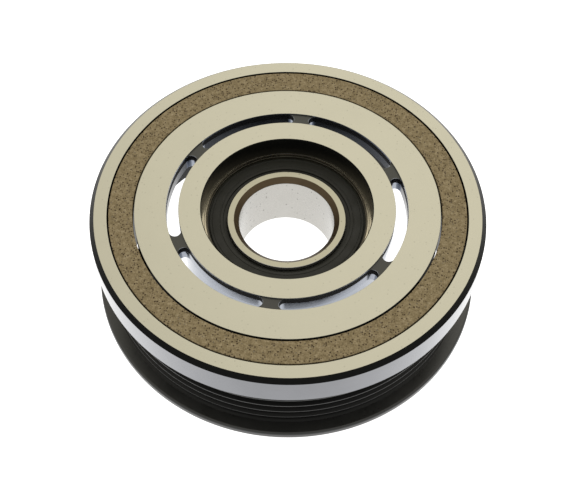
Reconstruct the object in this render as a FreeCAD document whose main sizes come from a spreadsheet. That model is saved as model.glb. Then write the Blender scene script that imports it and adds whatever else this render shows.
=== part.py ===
import FreeCAD, Part
import os, math
import Sketcher

# Rotor pulley of an electromagnetic compressor clutch, with its bearing.
# Millimetres, +Z up along the axis, towards the armature side.
# z = 0 is the rear edge of the rim, z = high is the pole face.

doc = FreeCAD.newDocument("clutch_rotor_pulley")

# ---------------------------------------------------------------- sizes
S = doc.addObject("Spreadsheet::Sheet", "dims")
sizes = [
    ("high", 35.4),             # rear edge of the rim to the pole face
    # rotor
    ("face_rad", 60.0),         # outer edge of the pole face
    ("band_rad", 61.45),         # bare cylindrical band
    ("face_bevel", 1.4),        # axial height of the black bevel
    ("band_low", 10.95),        # depth of the band's lower edge below the face
    ("band_brk", 0.15),
    ("seat_rad", 53.0),         # seat of the grooved rim
    ("wall_in", 51.0),          # outer wall of the coil space
    ("wall_end", 34.0),         # depth of the outer wall's rear edge
    ("hub_out", 32.6),          # inner wall of the coil space
    ("hub_end", 31.2),          # depth of the hub's rear edge
    ("disc_thk", 5.9),          # thickness of the pole disc
    ("cbore_rad", 26.67),       # bore above the bearing
    ("cbore_end", 6.3),
    ("brg_rad", 26.0),          # bearing seat
    ("lip_rad", 24.0),          # rear shoulder behind the bearing
    ("edge_c", 0.25),
    # friction ring and its groove
    ("fg_in", 47.45), ("fg_out", 55.92), ("fg_deep", 3.2),
    ("fr_in", 47.97), ("fr_out", 55.43), ("fr_sink", 0.12),
    # slots
    ("sl_in", 33.71), ("sl_out", 37.54), ("sl_sink", 0.5),
    ("sl_half", 23.0),          # half angle between the centres of the slot's round ends
    ("os_in", 47.45), ("os_out", 50.6), ("os_half", 24.0),
    # grooved rim
    ("crest_rad", 57.75), ("root_rad", 54.85), ("pk_pitch", 3.56), ("pk_first", 13.5),
    ("pk_top", 1.57), ("pk_bot", 0.54), ("pk_root_fil", 0.40), ("pk_tip_fil", 0.18),
    ("fl_rad", 61.75),
    ("fl_fall", 0.41),          # fall of the flange's front face towards its edge
    ("fl_fil", 0.8), ("rim_c", 0.12),
    # bearing
    ("bore_rad", 15.0), ("land_in", 18.75), ("brg_top", 6.65), ("brg_wide", 22.0),
    ("bore_c", 1.6), ("ring_c", 0.4),
    ("ball_rad", 3.175), ("race_rad", 3.25), ("pitch_rad", 20.5), ("row_off", 4.4),
    ("land_out", 22.4), ("side_land", 23.0), ("seal_seat", 24.9), ("seal_deep", 1.9),
    # cage
    ("cage_in", 19.2), ("cage_out", 21.8), ("cage_back", 4.3), ("cage_tip", 1.0),
    ("pocket_rad", 3.27),
    # seal
    ("rub_out", 24.35), ("rub_in", 20.0), ("lip_tip", 18.85), ("rub_top", 0.4),
    ("rub_step", 1.0), ("rub_low", 1.85), ("ins_in", 20.6), ("ins_out", 24.2),
    ("ins_top", 1.3), ("ins_low", 1.7),
]
for i, (k, v) in enumerate(sizes):
    c = "A%d" % (i + 1)
    S.set(c, str(v))
    S.setAlias(c, k)
doc.recompute()
N_SLOT = 6
N_BALL = 14
N_PK = 6


def D(name):
    return float(S.get(name))


def value_of(expr):
    """The number an expression of named sizes gives."""
    e = expr
    for k, v in sorted(sizes, key=lambda q: -len(q[0])):
        e = e.replace("dims." + k, "(%r)" % v)
    tok = e
    return _arith(tok)


def _arith(t):
    """Plain + - * / arithmetic with brackets."""
    t = t.replace(" ", "")
    pos = [0]

    def num():
        if t[pos[0]] == "(":
            pos[0] += 1
            v = add()
            pos[0] += 1
            return v
        if t[pos[0]] == "-":
            pos[0] += 1
            return -num()
        j = pos[0]
        while j < len(t) and (t[j].isdigit() or t[j] == "."):
            j += 1
        v = float(t[pos[0]:j])
        pos[0] = j
        return v

    def mul():
        v = num()
        while pos[0] < len(t) and t[pos[0]] in "*/":
            o = t[pos[0]]
            pos[0] += 1
            w = num()
            v = v * w if o == "*" else v / w
        return v

    def add():
        v = mul()
        while pos[0] < len(t) and t[pos[0]] in "+-":
            o = t[pos[0]]
            pos[0] += 1
            w = mul()
            v = v + w if o == "+" else v - w
        return v

    return add()


def Z(depth):
    """Height of a point that lies `depth` below the pole face."""
    return "dims.high-(%s)" % depth


def d(name):
    return "dims." + name


# ---------------------------------------------------------------- helpers
last = {}                       # newest solid feature of each body


def new_body(label):
    b = doc.addObject("PartDesign::Body", label)
    b.Label = label
    return b


def origin(body, role):
    for f in body.Origin.OriginFeatures:
        if f.Role == role:
            return f


def new_sketch(body, name, role="XZ_Plane"):
    sk = body.newObject("Sketcher::SketchObject", name)
    sk.AttachmentSupport = [(origin(body, role), "")]
    sk.MapMode = "FlatFace"
    return sk


def poly(sk, pts):
    """Closed outline through (radius, height) expressions, each point bound to the sheet."""
    vals = [(value_of(a), value_of(b)) for a, b in pts]
    n = len(pts)
    for i in range(n):
        p, q = vals[i], vals[(i + 1) % n]
        sk.addGeometry(Part.LineSegment(FreeCAD.Vector(p[0], p[1], 0), FreeCAD.Vector(q[0], q[1], 0)), False)
    for i in range(n):
        sk.addConstraint(Sketcher.Constraint("Coincident", i, 2, (i + 1) % n, 1))
    for i, (a, b) in enumerate(pts):
        c = sk.addConstraint(Sketcher.Constraint("DistanceX", -1, 1, i, 1, vals[i][0]))
        sk.setExpression("Constraints[%d]" % c, a)
        if abs(vals[i][1]) < 1e-9:
            sk.addConstraint(Sketcher.Constraint("PointOnObject", i, 1, -1))
        else:
            c = sk.addConstraint(Sketcher.Constraint("DistanceY", -1, 1, i, 1, vals[i][1]))
            sk.setExpression("Constraints[%d]" % c, b)


def circle(sk, rx, ry, rad):
    g = sk.addGeometry(Part.Circle(FreeCAD.Vector(value_of(rx), value_of(ry), 0), FreeCAD.Vector(0, 0, 1), value_of(rad)), False)
    for kind, e in (("DistanceX", rx), ("DistanceY", ry)):
        c = sk.addConstraint(Sketcher.Constraint(kind, -1, 1, g, 3, value_of(e)))
        sk.setExpression("Constraints[%d]" % c, e)
    c = sk.addConstraint(Sketcher.Constraint("Radius", g, value_of(rad)))
    sk.setExpression("Constraints[%d]" % c, rad)


def revolve(body, name, sk):
    f = body.newObject("PartDesign::Revolution", name)
    f.Profile = sk
    f.ReferenceAxis = (sk, ["V_Axis"])
    f.Angle = 360.0
    body.Tip = f
    doc.recompute()
    last[body.Name] = f
    return f


def groove(body, name, sk, angle=None, mid=False):
    v = last[body.Name].Shape.Volume
    f = body.newObject("PartDesign::Groove", name)
    f.Profile = sk
    f.ReferenceAxis = (sk, ["V_Axis"])
    if angle is None:
        f.Angle = 360.0
    else:
        f.setExpression("Angle", angle)
    f.Midplane = mid
    body.Tip = f
    doc.recompute()
    assert f.Shape.Volume < v - 1e-6, name
    last[body.Name] = f
    return f


# ---------------------------------------------------------------- rotor
rotor = new_body("rotor")
sk = new_sketch(rotor, "rotor_outline")
poly(sk, [
    ("dims.cbore_rad+dims.edge_c", Z("0")),
    (d("face_rad"), Z("0")),
    (d("band_rad"), Z("dims.face_bevel")),
    (d("band_rad"), Z("dims.band_low-dims.band_brk")),
    ("dims.band_rad-dims.band_brk", Z("dims.band_low")),
    (d("seat_rad"), Z("dims.band_low")),
    (d("seat_rad"), Z("dims.wall_end-0.6")),
    ("dims.seat_rad-0.6", Z("dims.wall_end")),
    (d("wall_in"), Z("dims.wall_end")),
    (d("wall_in"), Z("dims.disc_thk+dims.wall_in-dims.os_out")),
    (d("os_out"), Z("dims.disc_thk")),
    ("dims.hub_out+1.0", Z("dims.disc_thk")),
    (d("hub_out"), Z("dims.disc_thk+1.0")),
    (d("hub_out"), Z("dims.hub_end-1.0")),
    ("dims.hub_out-1.0", Z("dims.hub_end")),
    ("dims.lip_rad+0.6", Z("dims.hub_end")),
    (d("lip_rad"), Z("dims.hub_end-0.6")),
    (d("lip_rad"), Z("dims.brg_top+dims.brg_wide+0.02")),
    (d("brg_rad"), Z("dims.brg_top+dims.brg_wide+0.02")),
    (d("brg_rad"), Z("dims.cbore_end+0.3")),
    (d("cbore_rad"), Z("dims.cbore_end")),
    (d("cbore_rad"), Z("dims.edge_c")),
])
revolve(rotor, "rotor_turned", sk)
# groove for the friction ring
sk = new_sketch(rotor, "friction_groove_outline")
poly(sk, [(d("fg_in"), "dims.high+1"), (d("fg_out"), "dims.high+1"), (d("fg_out"), Z("dims.fg_deep")), (d("fg_in"), Z("dims.fg_deep"))])
groove(rotor, "friction_groove", sk)
# shallow ring groove that the slots are cut in
sk = new_sketch(rotor, "slot_ring_outline")
poly(sk, [(d("sl_in"), "dims.high+1"), (d("sl_out"), "dims.high+1"), (d("sl_out"), Z("dims.sl_sink")), (d("sl_in"), Z("dims.sl_sink"))])
groove(rotor, "slot_ring", sk)


def slots(tag, r_in, r_out, half):
    """Six curved through-slots with round ends."""
    a = new_sketch(rotor, tag + "_section")
    poly(a, [(r_in, "dims.high+1"), (r_out, "dims.high+1"), (r_out, Z("dims.disc_thk+3")), (r_in, Z("dims.disc_thk+3"))])
    g = groove(rotor, tag + "_arc", a, "2*dims.%s" % half, True)
    mid = "(%s+%s)/2" % (r_in, r_out)
    rm, hf = value_of(mid), math.radians(D(half))
    e = new_sketch(rotor, tag + "_ends", "XY_Plane")
    for s in (1, -1):
        k = e.addGeometry(Part.Circle(FreeCAD.Vector(rm * math.cos(hf), s * rm * math.sin(hf), 0), FreeCAD.Vector(0, 0, 1), (value_of(r_out) - value_of(r_in)) / 2), False)
        c = e.addConstraint(Sketcher.Constraint("DistanceX", -1, 1, k, 3, rm * math.cos(hf)))
        e.setExpression("Constraints[%d]" % c, "%s*cos(dims.%s*1deg)" % (mid, half))
        if s > 0:
            c = e.addConstraint(Sketcher.Constraint("DistanceY", -1, 1, k, 3, rm * math.sin(hf)))
        else:
            c = e.addConstraint(Sketcher.Constraint("DistanceY", k, 3, -1, 1, rm * math.sin(hf)))
        e.setExpression("Constraints[%d]" % c, "%s*sin(dims.%s*1deg)" % (mid, half))
        c = e.addConstraint(Sketcher.Constraint("Radius", k, (value_of(r_out) - value_of(r_in)) / 2))
        e.setExpression("Constraints[%d]" % c, "(%s-%s)/2" % (r_out, r_in))
    v = last[rotor.Name].Shape.Volume
    p = rotor.newObject("PartDesign::Pocket", tag + "_round")
    p.Profile = e
    p.Type = 0
    p.Reversed = True
    p.setExpression("Length", "dims.high+2")
    rotor.Tip = p
    doc.recompute()
    if p.Shape.Volume > v - 1:
        p.Reversed = False
        doc.recompute()
    assert p.Shape.Volume < v - 1, tag
    q = rotor.newObject("PartDesign::PolarPattern", tag + "_pattern")
    q.Originals = [g, p]
    q.Axis = (origin(rotor, "Z_Axis"), [""])
    q.Angle = 360
    q.Occurrences = N_SLOT
    rotor.Tip = q
    v = p.Shape.Volume
    doc.recompute()
    assert q.Shape.Volume < v - 100, tag
    last[rotor.Name] = q


slots("slot", d("sl_in"), d("sl_out"), "sl_half")
slots("under_slot", d("os_in"), d("os_out"), "os_half")

# ---------------------------------------------------------------- grooved rim
rim = new_body("pulley_rim")
sk = new_sketch(rim, "rim_outline")
outline = [(d("seat_rad"), Z("dims.band_low")), (d("crest_rad"), Z("dims.band_low"))]
for i in range(N_PK):
    mid = "dims.pk_first+%d*dims.pk_pitch" % i
    outline += [
        (d("crest_rad"), Z(mid + "-dims.pk_top")),
        (d("root_rad"), Z(mid + "-dims.pk_bot")),
        (d("root_rad"), Z(mid + "+dims.pk_bot")),
        (d("crest_rad"), Z(mid + "+dims.pk_top")),
    ]
# the last groove's lower flank runs straight into the flange's front face
outline += [
    (d("fl_rad"), Z(mid + "+dims.pk_top+dims.fl_fall")),
    (d("fl_rad"), Z("dims.high-dims.rim_c")),
    ("dims.fl_rad-dims.rim_c", Z("dims.high")),
    ("dims.seat_rad+0.8", Z("dims.high")),
    (d("seat_rad"), Z("dims.high-0.8")),
]
poly(sk, outline)
lp = revolve(rim, "rim_turned", sk)


def rim_fillet(name, base, edges, size):
    f = rim.newObject("PartDesign::Fillet", name)
    f.Base = (base, edges)
    f.Radius = D(size)
    f.setExpression("Radius", "dims." + size)
    rim.Tip = f
    doc.recompute()
    assert f.Shape.isValid() and len(f.Shape.Solids) == 1, name
    return f


def round_edges(shape, radius, low, high):
    """Names of the full circles of one radius between two heights."""
    out = []
    for i, e in enumerate(shape.Edges):
        c = e.Curve
        if c.TypeId == "Part::GeomCircle" and abs(c.Radius - radius) < 1e-3 and low < c.Center.z < high and e.Length > 6.2 * radius:
            out.append("Edge%d" % (i + 1))
    return out


floor_z = value_of(Z("dims.band_low+0.5"))
roots = round_edges(lp.Shape, D("root_rad"), 1.0, floor_z)
f1 = rim_fillet("groove_root_fillets", lp, roots, "pk_root_fil")
last_tip = value_of(Z(mid + "+dims.pk_top"))
tips = round_edges(f1.Shape, D("crest_rad"), last_tip + 0.05, floor_z)
f2 = rim_fillet("groove_tip_fillets", f1, tips, "pk_tip_fil")
edge = round_edges(f2.Shape, D("fl_rad"), last_tip - D("fl_fall") - 0.05, last_tip)
f3 = rim_fillet("flange_edge_fillet", f2, edge, "fl_fil")
print("belt groove edges rounded: %d roots, %d tips, %d flange edge" % (len(roots), len(tips), len(edge)))

# ---------------------------------------------------------------- friction ring
fric = new_body("friction_ring")
sk = new_sketch(fric, "friction_outline")
poly(sk, [
    (d("fr_in"), Z("dims.fg_deep")), (d("fr_out"), Z("dims.fg_deep")),
    (d("fr_out"), Z("dims.fr_sink+0.15")), ("dims.fr_out-0.15", Z("dims.fr_sink")),
    ("dims.fr_in+0.15", Z("dims.fr_sink")), (d("fr_in"), Z("dims.fr_sink+0.15")),
])
revolve(fric, "friction_turned", sk)

# ---------------------------------------------------------------- bearing rings
T0, T1 = "dims.brg_top", "dims.brg_top+dims.brg_wide"
MID = "dims.brg_top+dims.brg_wide/2"
outer = new_body("bearing_outer_ring")
sk = new_sketch(outer, "outer_ring_outline")
poly(sk, [
    (d("seal_seat"), Z(T0)),
    ("dims.brg_rad-dims.ring_c", Z(T0)),
    (d("brg_rad"), Z(T0 + "+dims.ring_c")),
    (d("brg_rad"), Z(T1 + "-dims.ring_c")),
    ("dims.brg_rad-dims.ring_c", Z(T1)),
    (d("seal_seat"), Z(T1)),
    (d("seal_seat"), Z(T1 + "-dims.seal_deep")),
    (d("side_land"), Z(T1 + "-dims.seal_deep")),
    (d("side_land"), Z(MID + "+dims.row_off")),
    (d("land_out"), Z(MID + "+dims.row_off")),
    (d("land_out"), Z(MID + "-dims.row_off")),
    (d("side_land"), Z(MID + "-dims.row_off")),
    (d("side_land"), Z(T0 + "+dims.seal_deep")),
    (d("seal_seat"), Z(T0 + "+dims.seal_deep")),
])
revolve(outer, "outer_ring_turned", sk)
for nm, off in (("front", "-dims.row_off"), ("rear", "+dims.row_off")):
    sk = new_sketch(outer, "outer_race_%s_section" % nm)
    circle(sk, d("pitch_rad"), Z(MID + off), d("race_rad"))
    groove(outer, "outer_race_" + nm, sk)

inner = new_body("bearing_inner_ring")
sk = new_sketch(inner, "inner_ring_outline")
poly(sk, [
    (d("bore_rad"), Z(T0 + "+dims.bore_c")),
    ("dims.bore_rad+dims.bore_c", Z(T0)),
    ("dims.land_in-dims.edge_c", Z(T0)),
    (d("land_in"), Z(T0 + "+dims.edge_c")),
    (d("land_in"), Z(T1 + "-dims.edge_c")),
    ("dims.land_in-dims.edge_c", Z(T1)),
    ("dims.bore_rad+dims.bore_c", Z(T1)),
    (d("bore_rad"), Z(T1 + "-dims.bore_c")),
])
revolve(inner, "inner_ring_turned", sk)
for nm, off in (("front", "-dims.row_off"), ("rear", "+dims.row_off")):
    sk = new_sketch(inner, "inner_race_%s_section" % nm)
    circle(sk, d("pitch_rad"), Z(MID + off), d("race_rad"))
    groove(inner, "inner_race_" + nm, sk)

# ---------------------------------------------------------------- balls and cages
parts = [rotor, rim, fric, outer, inner]


def place(o, rad, ang, zz):
    o.setExpression("Placement.Base.x", "%s*cos(%.6f*1deg)" % (rad, ang))
    o.setExpression("Placement.Base.y", "%s*sin(%.6f*1deg)" % (rad, ang))
    o.setExpression("Placement.Base.z", zz)


for nm, sgn, ph in (("front", "-", 0.0), ("rear", "+", 180.0 / N_BALL)):
    zc = Z(MID + sgn + "dims.row_off")
    balls, pockets = [], []
    for i in range(N_BALL):
        a = ph + 360.0 * i / N_BALL
        b = doc.addObject("Part::Sphere", "ball_%s_%02d" % (nm, i))
        b.setExpression("Radius", d("ball_rad"))
        place(b, d("pitch_rad"), a, zc)
        balls.append(b)
        k = doc.addObject("Part::Sphere", "pocket_%s_%02d" % (nm, i))
        k.setExpression("Radius", d("pocket_rad"))
        place(k, d("pitch_rad"), a, zc)
        pockets.append(k)
    row = doc.addObject("Part::Compound", "balls_%s_row" % nm)
    row.Links = balls
    row.Label = "balls_%s_row" % nm
    parts.append(row)
    # crown cage: a base ring on the side of the seal, with fingers between the balls
    hi = doc.addObject("Part::Cylinder", "cage_blank_" + nm)
    hi.setExpression("Radius", d("cage_out"))
    hi.setExpression("Height", "dims.cage_back+dims.cage_tip")
    lo = doc.addObject("Part::Cylinder", "cage_hole_" + nm)
    lo.setExpression("Radius", d("cage_in"))
    lo.setExpression("Height", "dims.cage_back+dims.cage_tip+2")
    base = zc + ("-dims.cage_tip" if nm == "front" else "-dims.cage_back")
    hi.setExpression("Placement.Base.z", base)
    lo.setExpression("Placement.Base.z", base + "-1")
    ring = doc.addObject("Part::Cut", "cage_ring_" + nm)
    ring.Base, ring.Tool = hi, lo
    pk = doc.addObject("Part::Compound", "cage_pockets_" + nm)
    pk.Links = pockets
    cage = doc.addObject("Part::Cut", "cage_" + nm)
    cage.Base, cage.Tool = ring, pk
    cage.Label = "cage_" + nm
    parts.append(cage)

# ---------------------------------------------------------------- seals
for nm in ("front", "rear"):
    if nm == "front":
        def q(off):
            return Z("dims.brg_top+(%s)" % off)
    else:
        def q(off):
            return Z("dims.brg_top+dims.brg_wide-(%s)" % off)
    body = new_body("seal_" + nm)
    sk = new_sketch(body, "seal_%s_outline" % nm)
    poly(sk, [
        (d("rub_in"), q("dims.rub_top+0.2")), ("dims.rub_in+0.2", q("dims.rub_top")),
        ("dims.rub_out-0.2", q("dims.rub_top")), (d("rub_out"), q("dims.rub_top+0.2")),
        (d("rub_out"), q("dims.rub_step")), (d("seal_seat"), q("dims.rub_step")),
        (d("seal_seat"), q("dims.rub_low")),
        (d("ins_out"), q("dims.rub_low")), (d("ins_out"), q("dims.ins_top")),
        (d("ins_in"), q("dims.ins_top")), (d("ins_in"), q("dims.rub_low")),
        ("dims.lip_tip+0.5", q("dims.rub_low")),
        (d("lip_tip"), q("dims.rub_step+0.5")), (d("lip_tip"), q("dims.rub_step+0.25")),
        (d("rub_in"), q("dims.rub_step")),
    ])
    revolve(body, "seal_%s_moulded" % nm, sk)
    parts.append(body)
    body = new_body("seal_%s_insert" % nm)
    sk = new_sketch(body, "insert_%s_outline" % nm)
    poly(sk, [(d("ins_in"), q("dims.ins_top")), (d("ins_out"), q("dims.ins_top")), (d("ins_out"), q("dims.ins_low")), (d("ins_in"), q("dims.ins_low"))])
    revolve(body, "insert_%s_pressed" % nm, sk)
    parts.append(body)

# ---------------------------------------------------------------- checks and files
doc.recompute()
for o in doc.Objects:
    assert "Invalid" not in o.State and "Error" not in o.State, (o.Name, o.State)
for o in parts:
    assert o.Shape is not None and not o.Shape.isNull() and o.Shape.isValid(), o.Label
os.makedirs("parts", exist_ok=True)
for o in parts:
    o.Shape.exportStep("parts/%s.step" % o.Label)
    bb = o.Shape.BoundBox
    print("%-22s solids %2d vol %10.2f  r %.2f  z %.2f..%.2f" % (o.Label, len(o.Shape.Solids), o.Shape.Volume, bb.XMax, bb.ZMin, bb.ZMax))
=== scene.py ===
import bpy, bmesh, math
import numpy as np
from mathutils import Matrix, Vector


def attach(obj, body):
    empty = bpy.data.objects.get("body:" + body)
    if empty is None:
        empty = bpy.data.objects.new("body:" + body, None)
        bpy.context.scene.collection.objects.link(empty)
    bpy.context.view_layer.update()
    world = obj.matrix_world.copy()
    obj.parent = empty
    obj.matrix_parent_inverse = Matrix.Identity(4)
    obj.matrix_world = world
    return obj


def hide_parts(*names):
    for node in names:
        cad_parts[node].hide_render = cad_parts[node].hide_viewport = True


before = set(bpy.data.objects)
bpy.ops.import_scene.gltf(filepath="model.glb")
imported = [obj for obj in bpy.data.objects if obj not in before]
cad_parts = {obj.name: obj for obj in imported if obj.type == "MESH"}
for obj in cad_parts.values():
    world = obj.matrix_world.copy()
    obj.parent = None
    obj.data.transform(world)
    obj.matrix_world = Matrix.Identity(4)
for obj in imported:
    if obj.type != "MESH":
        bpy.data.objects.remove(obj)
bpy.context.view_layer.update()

MM = 0.001
TURN = 10.9                     # bearing of the view about the axis, degrees
HIGH = 35.4                     # rear edge of the rim to the pole face
SEG = 360                       # steps round the axis


def Z(h):
    """Height of a point h millimetres below the pole face."""
    return HIGH - h


# ------------------------------------------------------------------ meshes
def soften(pts, closed=True, steps=4, guard=0.05):
    """Rounds the corners of an outline. Each point is (r, z, rounding, material of the run that follows)."""
    n = len(pts)
    out = []
    for i, (r, z, rad, mat) in enumerate(pts):
        if not closed and i in (0, n - 1):
            out.append((r, z, mat))
            continue
        p = np.array([r, z], float)
        a = np.array(pts[(i - 1) % n][:2], float)
        b = np.array(pts[(i + 1) % n][:2], float)
        mp = pts[(i - 1) % n][3]
        ua, ub = a - p, b - p
        la, lb = np.linalg.norm(ua), np.linalg.norm(ub)
        ua, ub = ua / la, ub / lb
        turn = math.acos(max(-1.0, min(1.0, float(-ua @ ub))))
        if rad <= 0 or turn < 0.02:
            out.append((r, z, mat))
            continue
        t = min(rad * math.tan(turn / 2), 0.42 * la, 0.42 * lb)
        rr = t / math.tan(turn / 2)
        mid = ua + ub
        mid = mid / np.linalg.norm(mid)
        c = p + mid * math.hypot(rr, t)
        s, e = p + ua * t, p + ub * t
        g = min(guard, 0.3 * t + 0.01)
        if la - t > 2.5 * g:
            out.append((*(p + ua * (t + g)), mp))
        vs, ve = s - c, e - c
        a0 = math.atan2(vs[1], vs[0])
        da = math.atan2(vs[0] * ve[1] - vs[1] * ve[0], vs @ ve)
        k = max(2, int(round(steps * abs(da) / (math.pi / 2))))
        for j in range(k + 1):
            q = c + rr * np.array([math.cos(a0 + da * j / k), math.sin(a0 + da * j / k)])
            out.append((q[0], q[1], mp if j < k / 2 else mat))
        if lb - t > 2.5 * g:
            out.append((*(p + ub * (t + g)), mat))
    return out


class Builder:
    """Collects rings and faces round the axis in millimetres."""

    def __init__(self):
        self.v, self.f, self.m = [], [], []

    def ring(self, r, z, seg=SEG, phase=0.0):
        s = len(self.v)
        for i in range(seg):
            a = 2 * math.pi * i / seg + phase
            self.v.append((r * math.cos(a), r * math.sin(a), z))
        return [s + i for i in range(seg)]

    def band(self, lo, hi, mat, skip=None):
        n = len(lo)
        for i in range(n):
            if skip is not None and skip[i]:
                continue
            j = (i + 1) % n
            self.f.append((lo[i], lo[j], hi[j], hi[i]))
            self.m.append(mat)

    def lathe(self, pts, closed=True, seg=SEG):
        rings = [self.ring(r, z, seg) for r, z, _ in pts]
        n = len(rings)
        for i in range(n if closed else n - 1):
            self.band(rings[i], rings[(i + 1) % n], pts[i][2])
        return rings

    def mesh(self, name, mats, body, node, slot, sharp=32.0):
        me = bpy.data.meshes.new(name)
        me.from_pydata([(x * MM, y * MM, z * MM) for x, y, z in self.v], [], self.f)
        for k in mats:
            me.materials.append(k)
        me.polygons.foreach_set("material_index", np.array(self.m, np.int32))
        bm = bmesh.new()
        bm.from_mesh(me)
        bmesh.ops.remove_doubles(bm, verts=bm.verts, dist=1e-7)
        bmesh.ops.dissolve_degenerate(bm, edges=bm.edges, dist=1e-8)
        bmesh.ops.recalc_face_normals(bm, faces=bm.faces)
        if bm.calc_volume(signed=True) < 0:
            bmesh.ops.reverse_faces(bm, faces=bm.faces)
        lim = math.radians(sharp)
        for f in bm.faces:
            f.smooth = True
        for e in bm.edges:
            if len(e.link_faces) == 2 and e.calc_face_angle(0.0) > lim:
                e.smooth = False
        open_edges = sum(1 for e in bm.edges if len(e.link_faces) != 2)
        bm.to_mesh(me)
        bm.free()
        me.update()
        ob = bpy.data.objects.new(name, me)
        bpy.context.scene.collection.objects.link(ob)
        if open_edges:
            print("OPEN EDGES", name, open_edges)
        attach(ob, body)
        if node:
            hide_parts(node)
        return ob


# ------------------------------------------------------------------ materials
def lin(c):
    return tuple(((x / 255.0) / 12.92 if x / 255.0 <= 0.04045 else ((x / 255.0 + 0.055) / 1.055) ** 2.4) for x in c)


class Mat:
    def __init__(self, name, metallic=0.0, rough=0.5, spec=0.5, ior=1.5):
        self.m = bpy.data.materials.new(name)
        self.m.use_nodes = True
        self.t = self.m.node_tree
        self.t.nodes.clear()
        self.out = self.t.nodes.new("ShaderNodeOutputMaterial")
        self.b = self.t.nodes.new("ShaderNodeBsdfPrincipled")
        self.t.links.new(self.b.outputs[0], self.out.inputs[0])
        self.b.inputs["Metallic"].default_value = metallic
        self.b.inputs["Roughness"].default_value = rough
        self.b.inputs["Specular IOR Level"].default_value = spec
        self.b.inputs["IOR"].default_value = ior
        tc = self.t.nodes.new("ShaderNodeTexCoord")
        self.co = tc.outputs["Object"]

    def node(self, kind, **kw):
        n = self.t.nodes.new(kind)
        for k, v in kw.items():
            setattr(n, k, v)
        return n

    def link(self, a, b):
        self.t.links.new(a, b)

    def math(self, op, a, b=None, clamp=False):
        n = self.node("ShaderNodeMath", operation=op, use_clamp=clamp)
        for i, x in enumerate((a, b)):
            if x is None:
                continue
            if isinstance(x, (int, float)):
                n.inputs[i].default_value = x
            else:
                self.link(x, n.inputs[i])
        return n.outputs[0]

    def noise(self, scale, detail=3.0, rough=0.5, vec=None, distortion=0.0):
        n = self.node("ShaderNodeTexNoise")
        n.inputs["Scale"].default_value = scale
        n.inputs["Detail"].default_value = detail
        n.inputs["Roughness"].default_value = rough
        n.inputs["Distortion"].default_value = distortion
        self.link(vec if vec is not None else self.co, n.inputs["Vector"])
        return n.outputs["Fac"]

    def voronoi(self, scale, feature="F1", vec=None, rand=1.0):
        n = self.node("ShaderNodeTexVoronoi", feature=feature)
        n.inputs["Scale"].default_value = scale
        n.inputs["Randomness"].default_value = rand
        self.link(vec if vec is not None else self.co, n.inputs["Vector"])
        return n

    def ramp(self, fac, stops, interp="LINEAR"):
        n = self.node("ShaderNodeValToRGB")
        e = n.color_ramp.elements
        n.color_ramp.interpolation = interp
        while len(e) < len(stops):
            e.new(0.5)
        for i, (p, c) in enumerate(stops):
            e[i].position = p
            e[i].color = (*c, 1.0) if len(c) == 3 else c
        self.link(fac, n.inputs[0])
        return n.outputs[0]

    def span(self, fac, lo, hi, a=0.0, b=1.0):
        n = self.node("ShaderNodeMapRange")
        n.inputs["From Min"].default_value = lo
        n.inputs["From Max"].default_value = hi
        n.inputs["To Min"].default_value = a
        n.inputs["To Max"].default_value = b
        self.link(fac, n.inputs["Value"])
        return n.outputs["Result"]

    def mix(self, fac, a, b, mode="MIX"):
        n = self.node("ShaderNodeMix", data_type="RGBA", blend_type=mode)
        for s, x in ((n.inputs[0], fac), (n.inputs[6], a), (n.inputs[7], b)):
            if isinstance(x, (int, float)):
                s.default_value = x
            elif isinstance(x, tuple):
                s.default_value = (*x, 1.0) if len(x) == 3 else x
            else:
                self.link(x, s)
        return n.outputs[2]

    def bump(self, height, strength=0.3, dist=0.0001, normal=None):
        n = self.node("ShaderNodeBump")
        n.inputs["Strength"].default_value = strength
        n.inputs["Distance"].default_value = dist
        self.link(height, n.inputs["Height"])
        if normal is not None:
            self.link(normal, n.inputs["Normal"])
        self.link(n.outputs[0], self.b.inputs["Normal"])
        return n.outputs[0]

    def polar(self, kr, ka, kz):
        """Vector (radius*kr, angle*ka, height*kz), for marks that run round the axis."""
        s = self.node("ShaderNodeSeparateXYZ")
        self.link(self.co, s.inputs[0])
        rr = self.math("SQRT", self.math("ADD", self.math("MULTIPLY", s.outputs[0], s.outputs[0]), self.math("MULTIPLY", s.outputs[1], s.outputs[1])))
        c = self.node("ShaderNodeCombineXYZ")
        an = self.math("ARCTAN2", s.outputs[1], s.outputs[0])
        self.link(self.math("MULTIPLY", rr, kr), c.inputs[0])
        self.link(self.math("MULTIPLY", self.math("ABSOLUTE", an), ka), c.inputs[1])
        self.link(self.math("MULTIPLY", s.outputs[2], kz), c.inputs[2])
        return c.outputs[0]

    def color(self, c):
        self.link(c, self.b.inputs["Base Color"])

    def roughness(self, r):
        self.link(r, self.b.inputs["Roughness"])


def turned_steel(name, light, dark, rough=(0.3, 0.42), marks=0.12, kr=16000.0, kz=200.0, spots=0.0):
    """Bare steel with fine marks that run round the axis."""
    m = Mat(name, metallic=1.0)
    fine = m.noise(1.0, 2.0, 0.6, m.polar(kr, 0.6, kz))
    broad = m.noise(110.0, 3.0, 0.55)
    cloud = m.math("ADD", m.math("MULTIPLY", fine, 0.35), m.math("MULTIPLY", broad, 0.65))
    col = m.ramp(cloud, [(0.3, dark), (0.7, light)])
    if spots:
        # a few small dark pits
        v = m.voronoi(1100.0)
        pick = m.node("ShaderNodeSeparateXYZ")
        m.link(v.outputs["Color"], pick.inputs[0])
        s = m.math("MULTIPLY", m.span(v.outputs["Distance"], 0.30, 0.16), m.span(pick.outputs[0], 0.86, 0.89), clamp=True)
        col = m.mix(m.math("MULTIPLY", s, spots, clamp=True), col, tuple(0.25 * x for x in dark))
    m.color(col)
    m.roughness(m.span(cloud, 0.3, 0.7, rough[0], rough[1]))
    m.bump(m.math("ADD", m.math("MULTIPLY", fine, 0.8), m.math("MULTIPLY", broad, 0.2)), marks, 0.00002)
    return m.m


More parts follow.
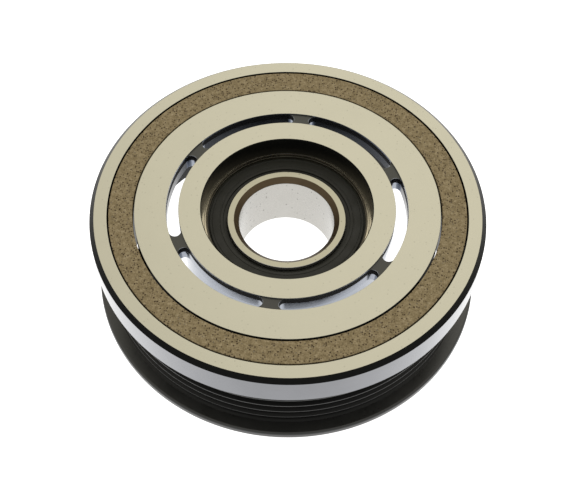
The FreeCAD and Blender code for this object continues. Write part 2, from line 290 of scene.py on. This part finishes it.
def black_coat(name, base=(0.006, 0.0062, 0.0052), rough=(0.26, 0.36), grain=0.08, spec=0.38):
    """Thin black dip coat over forged and turned steel."""
    m = Mat(name, 0.0, 0.4, spec, 1.5)
    a = m.noise(900.0, 4.0, 0.6)
    b = m.noise(140.0, 3.0, 0.5)
    mixd = m.math("ADD", m.math("MULTIPLY", a, 0.5), m.math("MULTIPLY", b, 0.5))
    m.color(m.ramp(mixd, [(0.3, tuple(0.75 * x for x in base)), (0.7, tuple(1.25 * x for x in base))]))
    m.roughness(m.span(mixd, 0.3, 0.7, rough[0], rough[1]))
    m.bump(a, grain, 0.00004)
    return m.m


face_steel = turned_steel("face_steel", (0.446, 0.430, 0.352), (0.398, 0.384, 0.314), (0.30, 0.38), 0.04, spots=0.25)
band_steel = turned_steel("band_steel", (0.252, 0.257, 0.277), (0.226, 0.231, 0.248), (0.14, 0.22), 0.05, kr=200.0, kz=9000.0)
wall_steel = turned_steel("wall_steel", (0.34, 0.365, 0.41), (0.25, 0.27, 0.315), (0.10, 0.20), 0.12, kr=300.0, kz=2500.0)
bore_steel = turned_steel("bore_steel", (0.44, 0.43, 0.405), (0.39, 0.38, 0.355), (0.22, 0.32), 0.04, kr=200.0, kz=9000.0, spots=0.8)
ring_steel = turned_steel("ring_steel", (0.385, 0.366, 0.285), (0.347, 0.330, 0.254), (0.30, 0.40), 0.05, spots=0.5)
bevel_steel = turned_steel("bevel_steel", (0.185, 0.134, 0.081), (0.115, 0.082, 0.048), (0.32, 0.45), 0.1, kr=6000.0, kz=6000.0)
edge_steel = turned_steel("edge_steel", (0.10, 0.09, 0.07), (0.06, 0.052, 0.038), (0.28, 0.42), 0.1)
ledge_steel = turned_steel("ledge_steel", (0.38, 0.345, 0.262), (0.30, 0.268, 0.20), (0.13, 0.19), 0.08)
ring_edge_steel = turned_steel("ring_edge_steel", (0.52, 0.468, 0.35), (0.42, 0.37, 0.275), (0.24, 0.32), 0.08)
race_steel = turned_steel("race_steel", (0.70, 0.70, 0.71), (0.62, 0.62, 0.63), (0.10, 0.18), 0.03)
back_steel = turned_steel("back_steel", (0.42, 0.43, 0.45), (0.30, 0.31, 0.33), (0.28, 0.45), 0.15, kr=3000.0)
coat = black_coat("black_coat", (0.0034, 0.0035, 0.0030), (0.26, 0.36), spec=0.13)
coat_rim = black_coat("black_coat_rim", (0.012, 0.012, 0.0105), (0.26, 0.36), 0.08, 0.80)
# dark matt black for the top band of the slot walls: painted shade
shade_matt = black_coat("black_painted_shade_matt", (0.0045, 0.0046, 0.0050), (0.50, 0.60), 0.08, 0.10)
# glossy black for the lower outer walls of the front slots: painted shade that keeps the far side of the slots dark
shade_gloss = black_coat("black_painted_shade_gloss", (0.006, 0.0064, 0.0074), (0.10, 0.18), 0.08, 0.95)
# darker, weaker-shining black for the groove flanks and roots: painted shade in the grooves
coat_groove_shade = black_coat("black_coat_grooves_painted_shade", (0.0045, 0.0045, 0.0040), (0.30, 0.40), 0.08, 0.28)
coat_bridge = black_coat("black_coat_slot_ring", (0.036, 0.036, 0.029), (0.40, 0.52), 0.15, 0.5)
coat_hub = black_coat("black_coat_hub", (0.0050, 0.0051, 0.0043), (0.34, 0.44), 0.05, 0.12)

# friction lining: pressed brown fibre with dark and pale grains
m = Mat("friction_fibre", 0.0, 0.85, 0.25, 1.45)
warp = m.node("ShaderNodeVectorMath", operation="MULTIPLY_ADD")
wn = m.node("ShaderNodeTexNoise")
wn.inputs["Scale"].default_value = 900.0
m.link(m.co, wn.inputs["Vector"])
m.link(wn.outputs["Color"], warp.inputs[0])
warp.inputs[1].default_value = (0.0005, 0.0005, 0.0005)
m.link(m.co, warp.inputs[2])
wv = warp.outputs[0]
body_n = m.noise(700.0, 5.0, 0.65, wv)
grain = m.noise(2600.0, 3.0, 0.6, wv)
col = m.ramp(m.math("ADD", m.math("MULTIPLY", body_n, 0.5), m.math("MULTIPLY", grain, 0.5)), [(0.34, (0.145, 0.110, 0.056)), (0.5, (0.255, 0.197, 0.108)), (0.66, (0.40, 0.325, 0.205))])
sp = m.voronoi(1500.0, vec=wv)
pick = m.node("ShaderNodeSeparateXYZ")
m.link(sp.outputs["Color"], pick.inputs[0])
chosen = m.span(pick.outputs[0], 0.50, 0.62)
spot = m.math("MULTIPLY", m.span(sp.outputs["Distance"], 0.50, 0.25), chosen, clamp=True)
col = m.mix(m.math("MULTIPLY", spot, 0.92), col, (0.030, 0.016, 0.008))
pale = m.math("MULTIPLY", m.span(sp.outputs["Distance"], 0.40, 0.15), m.span(pick.outputs[1], 0.84, 0.93), clamp=True)
col = m.mix(m.math("MULTIPLY", pale, 0.5), col, (0.46, 0.40, 0.28))
m.color(col)
m.roughness(m.span(grain, 0.3, 0.7, 0.75, 0.95))
m.bump(m.math("SUBTRACT", m.math("MULTIPLY", grain, 0.6), m.math("MULTIPLY", spot, 0.8)), 0.5, 0.00006)
friction = m.m

# seal rubber
m = Mat("seal_rubber", 0.0, 0.55, 0.35, 1.5)
a = m.noise(1600.0, 4.0, 0.6)
b = m.noise(240.0, 3.0, 0.5)
m.color(m.ramp(m.math("ADD", m.math("MULTIPLY", a, 0.5), m.math("MULTIPLY", b, 0.5)), [(0.3, (0.0075, 0.0072, 0.0042)), (0.7, (0.0140, 0.0135, 0.0082))]))
m.roughness(m.span(b, 0.3, 0.7, 0.48, 0.62))
m.bump(a, 0.2, 0.00004)
rubber = m.m

# moulded cage plastic
m = Mat("cage_plastic", 0.0, 0.45, 0.5, 1.5)
a = m.noise(500.0, 4.0, 0.6)
m.color(m.ramp(a, [(0.3, (0.50, 0.42, 0.26)), (0.7, (0.62, 0.54, 0.36))]))
m.roughness(m.span(a, 0.3, 0.7, 0.38, 0.52))
m.bump(a, 0.15, 0.00004)
m.b.inputs["Subsurface Weight"].default_value = 0.0
cage_mat = m.m

# ball steel
m = Mat("ball_steel", 1.0, 0.06)
a = m.noise(300.0, 3.0, 0.5)
m.color(m.ramp(a, [(0.3, (0.74, 0.74, 0.75)), (0.7, (0.80, 0.80, 0.81))]))
m.roughness(m.span(a, 0.3, 0.7, 0.04, 0.09))
ball_mat = m.m

# rolled insert steel
insert_mat = turned_steel("insert_steel", (0.50, 0.50, 0.49), (0.40, 0.40, 0.39), (0.3, 0.42), 0.1)

# ------------------------------------------------------------------ rotor
R_IN, R_OUT = 33.71, 37.54                 # slot ring
U_IN, U_OUT = 47.45, 50.6                  # slots under the friction ring
THK = 5.9
FACE, BAND, WALL, COAT, BRIDGE, HUB, BACK, LEDGE, MATT_SHADE, GLOSS_SHADE = range(10)
BR_HALF, UB_HALF = 7, 6                    # half angle of a bridge at its widest, degrees


def deg(i):
    return math.radians(i)


rot = Builder()


def strip(pts):
    """An open turned strip. Returns its first and last rings."""
    rings = [rot.ring(r, z) for r, z, _ in pts]
    for i in range(len(rings) - 1):
        rot.band(rings[i], rings[i + 1], pts[i][2])
    return rings[0], rings[-1]


# inner part: from the slot wall's foot, through the coil space and the bearing seat, to the wall's top
inner = soften([
    (R_IN, Z(THK), 0, COAT),
    (33.6, Z(THK), 0.0, WALL),
    (32.6, Z(THK + 1.0), 0.6, WALL),
    (32.6, Z(30.2), 0.5, COAT),
    (31.6, Z(31.2), 0.4, BACK),
    (24.6, Z(31.2), 0.25, BACK),
    (24.0, Z(30.6), 0.25, BACK),
    (24.0, Z(28.67), 0.1, BACK),
    (26.0, Z(28.67), 0.1, BACK),
    (26.0, Z(6.60), 0.02, LEDGE),
    (26.67, Z(6.56), 0.0, HUB),
    (26.67, Z(0.25), 0.10, COAT),
    (26.92, Z(0.0), 0.08, FACE),
    (R_IN, Z(0.0), 0.10, WALL),
    (R_IN, Z(0.5), 0, WALL),
], closed=False)
in_foot, in_top = strip(inner)
# middle part
mid_top = soften([
    (R_OUT, Z(0.5), 0, WALL),
    (R_OUT, Z(0.0), 0.10, FACE),
    (U_IN, Z(0.0), 0.10, COAT),
    (U_IN, Z(3.2), 0, COAT),
], closed=False)
mt0, mt1 = strip(mid_top)
md0, md1 = strip([(U_IN, Z(THK), COAT), (42.5, Z(THK), COAT), (R_OUT, Z(THK), COAT)])
# outer part
outer = soften([
    (U_OUT, Z(3.2), 0, COAT),
    (55.92, Z(3.2), 0.15, COAT),
    (55.92, Z(0.0), 0.10, FACE),
    (60.0, Z(0.0), 0.10, COAT),
    (61.45, Z(1.4), 0.10, BAND),
    (61.45, Z(10.80), 0.08, BAND),
    (61.3, Z(10.95), 0.06, COAT),
    (53.0, Z(10.95), 0.0, COAT),
    (53.0, Z(33.4), 0.15, COAT),
    (52.4, Z(34.0), 0.15, COAT),
    (51.0, Z(34.0), 0.25, COAT),
    (51.0, Z(THK + 0.4), 0.0, COAT),
    (U_OUT, Z(THK), 0, COAT),
], closed=False)
ou0, ou1 = strip(outer)


def bridges(lo_top, hi_top, lo_foot, hi_foot, r0, r1, z_top, z_foot, half, mat_top, mat_wall, mat_out, mat_foot, z_coat, bev=0.14):
    """Six bridges between two rings of slots with round ends, plus the slots' long walls.
    lo_ and hi_ are the rings at the slots' inner and outer radius, at the top and the foot.
    The long walls are dark matt down to z_coat, painted shade at the top of the slots; below it they take mat_wall
    inside and mat_out outside."""
    n_s = 60
    rm, re = (r0 + r1) / 2, (r1 - r0) / 2
    kphi = 14
    for b in range(6):
        c0 = 30 + 60 * b                               # azimuth of the bridge's middle
        cols = [(c0 + k) % 360 for k in range(-half, half + 1)]
        ncol = len(cols)

        def end(side, phi, grow):
            ca = deg(c0 + side * half)
            er = np.array([math.cos(ca), math.sin(ca)])
            et = np.array([-math.sin(ca), math.cos(ca)]) * (-side)
            g = re + grow * math.sin(phi)
            return rm * er - re * math.cos(phi) * er + g * math.sin(phi) * et

        def sheet(z, grow, first, last, mat, flip):
            rows = [[first[c] for c in cols]]
            left, right = [], []
            for j in range(1, kphi):
                phi = math.pi * j / kphi
                p, q = end(-1, phi, grow), end(1, phi, grow)
                rp, rq = np.hypot(*p), np.hypot(*q)
                ap, aq = math.atan2(p[1], p[0]), math.atan2(q[1], q[0])
                while aq < ap:
                    aq += 2 * math.pi
                row = []
                for k in range(ncol):
                    f = k / (ncol - 1)
                    r, a = rp + (rq - rp) * f, ap + (aq - ap) * f
                    row.append(len(rot.v))
                    rot.v.append((r * math.cos(a), r * math.sin(a), z))
                rows.append(row)
            rows.append([last[c] for c in cols])
            for j in range(len(rows) - 1):
                for k in range(ncol - 1):
                    rot.f.append((rows[j][k], rows[j][k + 1], rows[j + 1][k + 1], rows[j + 1][k]))
                    rot.m.append(mat)
            return [r[0] for r in rows], [r[-1] for r in rows]

        tl, tr = sheet(z_top, bev, lo_top, hi_top, mat_top, False)
        fl, fr = sheet(z_foot, bev, lo_foot, hi_foot, mat_foot, True)
        # end walls, with a small bevel at the top and the foot; under the top bevel they are dark matt, painted shade
        for side, t, f in ((-1, tl, fl), (1, tr, fr)):
            lines = [t]
            for dz, gr in ((bev * 0.35, bev * 0.3), (bev, 0.0)):
                lines.append((z_top - dz, gr))
            lines.append((z_coat, 0.0))
            for dz, gr in ((bev, 0.0), (bev * 0.35, bev * 0.3)):
                lines.append((z_foot + dz, gr))
            lines.append(f)
            made = [t]
            for z, gr in lines[1:-1]:
                row = []
                for j in range(kphi + 1):
                    p = end(side, math.pi * j / kphi, gr)
                    row.append(len(rot.v))
                    rot.v.append((p[0], p[1], z))
                made.append(row)
            made.append(f)
            for lv, (a, c) in enumerate(zip(made[:-1], made[1:])):
                for j in range(kphi):
                    rot.f.append((a[j], a[j + 1], c[j + 1], c[j]))
                    rot.m.append(MATT_SHADE if lv == 2 else mat_wall)
            ends[(b, side)] = made
    # long walls of the slots, dark matt at the top as painted shade
    for b in range(6):
        c0 = 30 + 60 * b + half
        cols = [(c0 + k) % 360 for k in range(60 - 2 * half + 1)]
        for top, foot, pick, low in ((lo_top, lo_foot, 0, mat_wall), (hi_top, hi_foot, -1, mat_out)):
            a_end = ends[(b, 1)]
            z_end = ends[((b + 1) % 6, -1)]
            rows = []
            levels = len(a_end)
            for lv in range(levels):
                if lv == 0:
                    rows.append([top[c] for c in cols])
                elif lv == levels - 1:
                    rows.append([foot[c] for c in cols])
                else:
                    row = [a_end[lv][pick]]
                    zz = rot.v[a_end[lv][pick]][2]
                    for c in cols[1:-1]:
                        x, y, _ = rot.v[top[c]]
                        row.append(len(rot.v))
                        rot.v.append((x, y, zz))
                    row.append(z_end[lv][pick])
                    rows.append(row)
            for lv, (p, q) in enumerate(zip(rows[:-1], rows[1:])):
                for k in range(len(cols) - 1):
                    rot.f.append((p[k], p[k + 1], q[k + 1], q[k]))
                    rot.m.append(MATT_SHADE if lv < 3 else low)


ends = {}
# front slots: below the dark matt band the inner walls are bare steel and the outer walls glossy black, painted shade
bridges(in_top, mt0, in_foot, md1, R_IN, R_OUT, Z(0.5), Z(THK), BR_HALF, BRIDGE, WALL, GLOSS_SHADE, COAT, Z(2.7))
ends = {}
bridges(mt1, ou0, md0, ou1, U_IN, U_OUT, Z(3.2), Z(THK), UB_HALF, COAT, COAT, COAT, COAT, Z(4.5))
rot.mesh("rotor_piece", [face_steel, band_steel, wall_steel, coat, coat_bridge, coat_hub, back_steel, ledge_steel, shade_matt, shade_gloss], "pulley", "rotor", "rotor_steel")

# ------------------------------------------------------------------ grooved rim
PITCH, FIRST, TOP, BOT = 3.56, 13.5, 1.57, 0.54
CREST, ROOT, FL = 57.75, 54.85, 61.75
# groove flanks and roots take the darker black (material 1) as painted shade; lands, flange and underside take the
# rim black
pts = [(53.0, Z(10.95), 0, 0), (CREST, Z(10.95), 0.12, 0)]
for i in range(6):
    c = FIRST + i * PITCH
    pts += [(CREST, Z(c - TOP), 0.18, 1), (ROOT, Z(c - BOT), 0.40, 1), (ROOT, Z(c + BOT), 0.40, 1), (CREST, Z(c + TOP), 0.18 if i < 5 else 0.5, 0)]
pts += [(FL, Z(c + TOP + 0.41), 0.80, 0), (FL, Z(HIGH - 0.12), 0.08, 0), (FL - 0.12, Z(HIGH), 0.08, 0), (53.8, Z(HIGH), 0.25, 0), (53.0, Z(34.6), 0.2, 0)]
rim = Builder()
rim.lathe(soften(pts, steps=5))
rim.mesh("pulley_rim_piece", [coat_rim, coat_groove_shade], "pulley", "pulley_rim", "coated_steel")

# ------------------------------------------------------------------ friction ring
fr = Builder()
fr.lathe(soften([(47.97, Z(3.2), 0, 0), (55.43, Z(3.2), 0, 0), (55.43, Z(0.12), 0.18, 0), (47.97, Z(0.12), 0.18, 0)]))
fr.mesh("friction_ring_piece", [friction], "pulley", "friction_ring", "friction")

# ------------------------------------------------------------------ bearing
T0, T1 = 6.65, 28.65
MID = (T0 + T1) / 2
OFF, PR, RR = 4.4, 20.5, 3.25


def race(row, land_a, land_b, side, mat):
    """Points of a raceway arc. side +1 is the outer ring, -1 the inner ring. land_a comes first going down."""
    out = []
    za = math.sqrt(max(RR ** 2 - (land_a - PR) ** 2, 0))
    zb = math.sqrt(max(RR ** 2 - (land_b - PR) ** 2, 0))
    a0 = math.atan2(za, land_a - PR)
    a1 = math.atan2(-zb, land_b - PR)
    if side < 0:
        a0 = a0 if a0 > 0 else a0 + 2 * math.pi
        a1 = a1 if a1 > 0 else a1 + 2 * math.pi
    n = 16
    for i in range(n + 1):
        a = a0 + (a1 - a0) * i / n
        out.append((PR + RR * math.cos(a), Z(row) + RR * math.sin(a), 0, mat))
    return out


FCE, BOR, BEV, RAC, RUB, EDG = 0, 1, 2, 3, 4, 5
pts = [(15.0, Z(T1 - 1.6), 0.25, BOR), (15.0, Z(T0 + 1.6), 0.20, BEV), (16.6, Z(T0), 0.10, FCE), (18.5, Z(T0), 0.12, RAC), (18.75, Z(T0 + 0.25), 0.12, RAC)]
pts += race(MID - OFF, 18.75, 18.75, -1, RAC)
pts += race(MID + OFF, 18.75, 18.75, -1, RAC)
pts += [(18.75, Z(T1 - 0.25), 0.12, RAC), (18.5, Z(T1), 0.12, FCE), (16.6, Z(T1), 0.10, BEV)]
b = Builder()
b.lathe(soften(pts), seg=288)
b.mesh("bearing_inner_ring_piece", [ring_steel, bore_steel, bevel_steel, race_steel], "inner_ring", "bearing_inner_ring", "bearing_steel")

pts = [(24.9, Z(T0), 0.06, 1), (25.46, Z(T0), 0.0, 3), (25.93, Z(T0), 0.04, 3), (26.0, Z(T0 + 0.1), 0.04, 0), (26.0, Z(T1 - 0.4), 0.10, 1), (25.6, Z(T1), 0.10, 1), (24.9, Z(T1), 0.06, 1), (24.9, Z(T1 - 1.9), 0.08, 0), (23.0, Z(T1 - 1.9), 0.08, 0)]
up = race(MID + OFF, 22.4, 23.0, 1, 2)
dn = race(MID - OFF, 23.0, 22.4, 1, 2)
pts += up[::-1] + dn[::-1]
pts += [(23.0, Z(T0 + 1.9), 0.08, 0), (24.9, Z(T0 + 1.9), 0.08, 0)]
b = Builder()
b.lathe(soften(pts), seg=288)
b.mesh("bearing_outer_ring_piece", [ring_steel, edge_steel, race_steel, ring_edge_steel], "pulley", "bearing_outer_ring", "bearing_steel")

# balls: one piece per row, rounded from a subdivided cube so that no ball has poles
for nm, sgn, ph, body in (("front", -1, 0.0, "front_row"), ("rear", 1, math.pi / 14, "rear_row")):
    verts, faces = [], []
    n = 12
    for i in range(14):
        a = ph + 2 * math.pi * i / 14
        c = np.array([PR * math.cos(a), PR * math.sin(a), Z(MID + sgn * OFF)])
        for ax in range(3):
            for s in (-1, 1):
                base = len(verts)
                for j in range(n + 1):
                    for k in range(n + 1):
                        p = np.zeros(3)
                        p[ax], p[(ax + 1) % 3], p[(ax + 2) % 3] = s, math.tan(math.pi / 4 * (2 * j / n - 1)), math.tan(math.pi / 4 * (2 * k / n - 1))
                        p = c + p / np.linalg.norm(p) * 3.175
                        verts.append(tuple(p * MM))
                for j in range(n):
                    for k in range(n):
                        q = (base + j * (n + 1) + k, base + (j + 1) * (n + 1) + k, base + (j + 1) * (n + 1) + k + 1, base + j * (n + 1) + k + 1)
                        faces.append(q if s > 0 else q[::-1])
    me = bpy.data.meshes.new("balls_%s" % nm)
    me.from_pydata(verts, [], faces)
    bm = bmesh.new()
    bm.from_mesh(me)
    bmesh.ops.remove_doubles(bm, verts=bm.verts, dist=1e-7)
    bmesh.ops.recalc_face_normals(bm, faces=bm.faces)
    for f in bm.faces:
        f.smooth = True
    bm.to_mesh(me)
    bm.free()
    me.materials.append(ball_mat)
    ob = bpy.data.objects.new("balls_%s_piece" % nm, me)
    bpy.context.scene.collection.objects.link(ob)
    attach(ob, body)
    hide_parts("balls_%s_row" % nm)

# the cages keep their CAD shape and get their finish here
for nm in ("cage_front", "cage_rear"):
    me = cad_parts[nm].data
    me.materials.clear()
    me.materials.append(cage_mat)

# seals: softly rounded rubber with a shallow moulded ring
for nm, sgn in (("front", 1), ("rear", -1)):
    def q(off):
        return Z(T0 + off) if sgn > 0 else Z(T1 - off)
    pts = [
        (20.0, q(0.45), 0.12, 0), (20.0 + 0.25, q(0.40), 0.12, 0), (20.9, q(0.40), 0.06, 0), (21.0, q(0.50), 0.05, 0), (21.25, q(0.50), 0.05, 0), (21.35, q(0.40), 0.06, 0),
        (23.35, q(0.40), 0.06, 0), (23.45, q(0.48), 0.05, 0), (23.65, q(0.48), 0.05, 0), (23.75, q(0.40), 0.06, 0),
        (24.35, q(0.40), 0.20, 0), (24.35, q(1.0), 0.08, 0), (24.9, q(1.0), 0.05, 0), (24.9, q(1.85), 0, 0),
        (24.2, q(1.85), 0, 0), (24.2, q(1.3), 0, 0), (20.6, q(1.3), 0, 0), (20.6, q(1.85), 0, 0),
        (19.35, q(1.85), 0.1, 0), (18.85, q(1.5), 0.05, 0), (18.85, q(1.25), 0.05, 0), (20.0, q(1.0), 0.1, 0),
    ]
    b = Builder()
    b.lathe(soften(pts), seg=288)
    b.mesh("seal_%s_piece" % nm, [rubber], "pulley", "seal_" + nm, "seal_rubber")
    b = Builder()
    b.lathe(soften([(20.62, q(1.3), 0.04, 0), (24.18, q(1.3), 0.04, 0), (24.18, q(1.7), 0.08, 0), (20.62, q(1.7), 0.08, 0)]), seg=240)
    b.mesh("seal_%s_insert_piece" % nm, [insert_mat], "pulley", "seal_%s_insert" % nm, "insert_steel")

# ------------------------------------------------------------------ floor, light, camera
me = bpy.data.meshes.new("floor")
s = 3.0
me.from_pydata([(-s, -s, 0), (s, -s, 0), (s, s, 0), (-s, s, 0)], [], [(0, 1, 2, 3)])
floor = bpy.data.objects.new("floor", me)
floor.location.z = -0.00006
bpy.context.scene.collection.objects.link(floor)
# pale paper floor that also glows: painted light standing in for a lit table
fm = Mat("floor_paper_painted_glow", 0.0, 0.9, 0.0)
fcol = fm.ramp(fm.noise(30.0, 2.0), [(0.3, (0.50, 0.50, 0.50)), (0.7, (0.52, 0.52, 0.52))])
fm.color(fcol)
fm.b.inputs["Emission Color"].default_value = (1.0, 1.0, 1.0, 1.0)
sep = fm.node("ShaderNodeSeparateXYZ")
fm.link(fm.co, sep.inputs[0])
# distance along the line of sight, in metres; the floor's glow is painted light, brightest beside and behind the
# object and dimmer towards the viewer
depth = fm.math("ADD", fm.math("MULTIPLY", sep.outputs[0], -math.sin(math.radians(TURN))), fm.math("MULTIPLY", sep.outputs[1], math.cos(math.radians(TURN))))
fm.link(fm.span(depth, -0.081, -0.040, 0.77, 1.25), fm.b.inputs["Emission Strength"])
floor.data.materials.append(fm.m)

world = bpy.data.worlds.new("studio")
bpy.context.scene.world = world
world.use_nodes = True
t = world.node_tree
t.nodes.clear()
wo = t.nodes.new("ShaderNodeOutputWorld")
bg = t.nodes.new("ShaderNodeBackground")
tc = t.nodes.new("ShaderNodeTexCoord")
# the light comes from above and behind the object; the side towards the viewer is dimmer
dt = t.nodes.new("ShaderNodeVectorMath")
dt.operation = "DOT_PRODUCT"
dt.inputs[1].default_value = (-0.64 * math.sin(math.radians(TURN)), 0.64 * math.cos(math.radians(TURN)), 0.77)
rp = t.nodes.new("ShaderNodeValToRGB")
t.links.new(tc.outputs["Generated"], dt.inputs[0])
t.links.new(dt.outputs["Value"], rp.inputs[0])
t.links.new(rp.outputs[0], bg.inputs[0])
t.links.new(bg.outputs[0], wo.inputs[0])
e = rp.color_ramp.elements
e[0].position, e[0].color = 0.0, (0.56, 0.56, 0.55, 1)
e[1].position, e[1].color = 0.70, (1.0, 0.965, 0.85, 1)
k = e.new(0.30)
k.color = (0.57, 0.57, 0.555, 1)
k = e.new(0.55)
k.color = (0.85, 0.84, 0.79, 1)
bg.inputs[1].default_value = 0.95


def area(name, loc, target, size, power, color=(1, 1, 1)):
    ld = bpy.data.lights.new(name, "AREA")
    ld.shape = "DISK"
    ld.size = size
    ld.energy = power
    ld.color = color
    ob = bpy.data.objects.new(name, ld)
    bpy.context.scene.collection.objects.link(ob)
    ob.location = loc
    ob.rotation_euler = (Vector(target) - Vector(loc)).to_track_quat("-Z", "Y").to_euler()
    return ob


area("back_soft", (0.1, 1.1, 1.3), (0, 0, 0), 1.4, 3.0, (1.0, 0.97, 0.90))

sc = bpy.context.scene
sc.view_settings.view_transform = "Standard"
sc.view_settings.look = "None"
sc.view_settings.exposure = 0.0
sc.view_settings.gamma = 1.0

TR = math.radians(TURN)
E, RO = math.radians(55.900), math.radians(-2.300)
fwd = np.array([0, math.cos(E), -math.sin(E)])
rt = np.array([1.0, 0, 0])
up = np.array([0, math.sin(E), math.cos(E)])
C = (-fwd * 6.0049 + rt * -0.2633 + up * -0.2200) * 60.0
r2 = rt * math.cos(RO) + up * math.sin(RO)
u2 = -rt * math.sin(RO) + up * math.cos(RO)
Rz = np.array([[math.cos(TR), -math.sin(TR), 0], [math.sin(TR), math.cos(TR), 0], [0, 0, 1]])
C, r2, u2, fwd = Rz @ C, Rz @ r2, Rz @ u2, Rz @ fwd
cd = bpy.data.cameras.new("camera")
cam = bpy.data.objects.new("camera", cd)
sc.collection.objects.link(cam)
cd.sensor_fit = "HORIZONTAL"
cd.sensor_width = 36.0
cd.lens = 1162.3 * 36.0 / 575.0
# the picture is framed a little off the optical centre
cd.shift_x = (287.0 - 237.1) / 575.0
cd.shift_y = (250.0 - 249.5) / 575.0
cd.clip_start, cd.clip_end = 0.01, 20.0
M = Matrix.Identity(4)
for i in range(3):
    M[i][0], M[i][1], M[i][2] = r2[i], u2[i], -fwd[i]
M[0][3], M[1][3], M[2][3] = C[0] * MM, C[1] * MM, (C[2] + HIGH) * MM
cam.matrix_world = M
sc.camera = cam

bpy.context.view_layer.update()
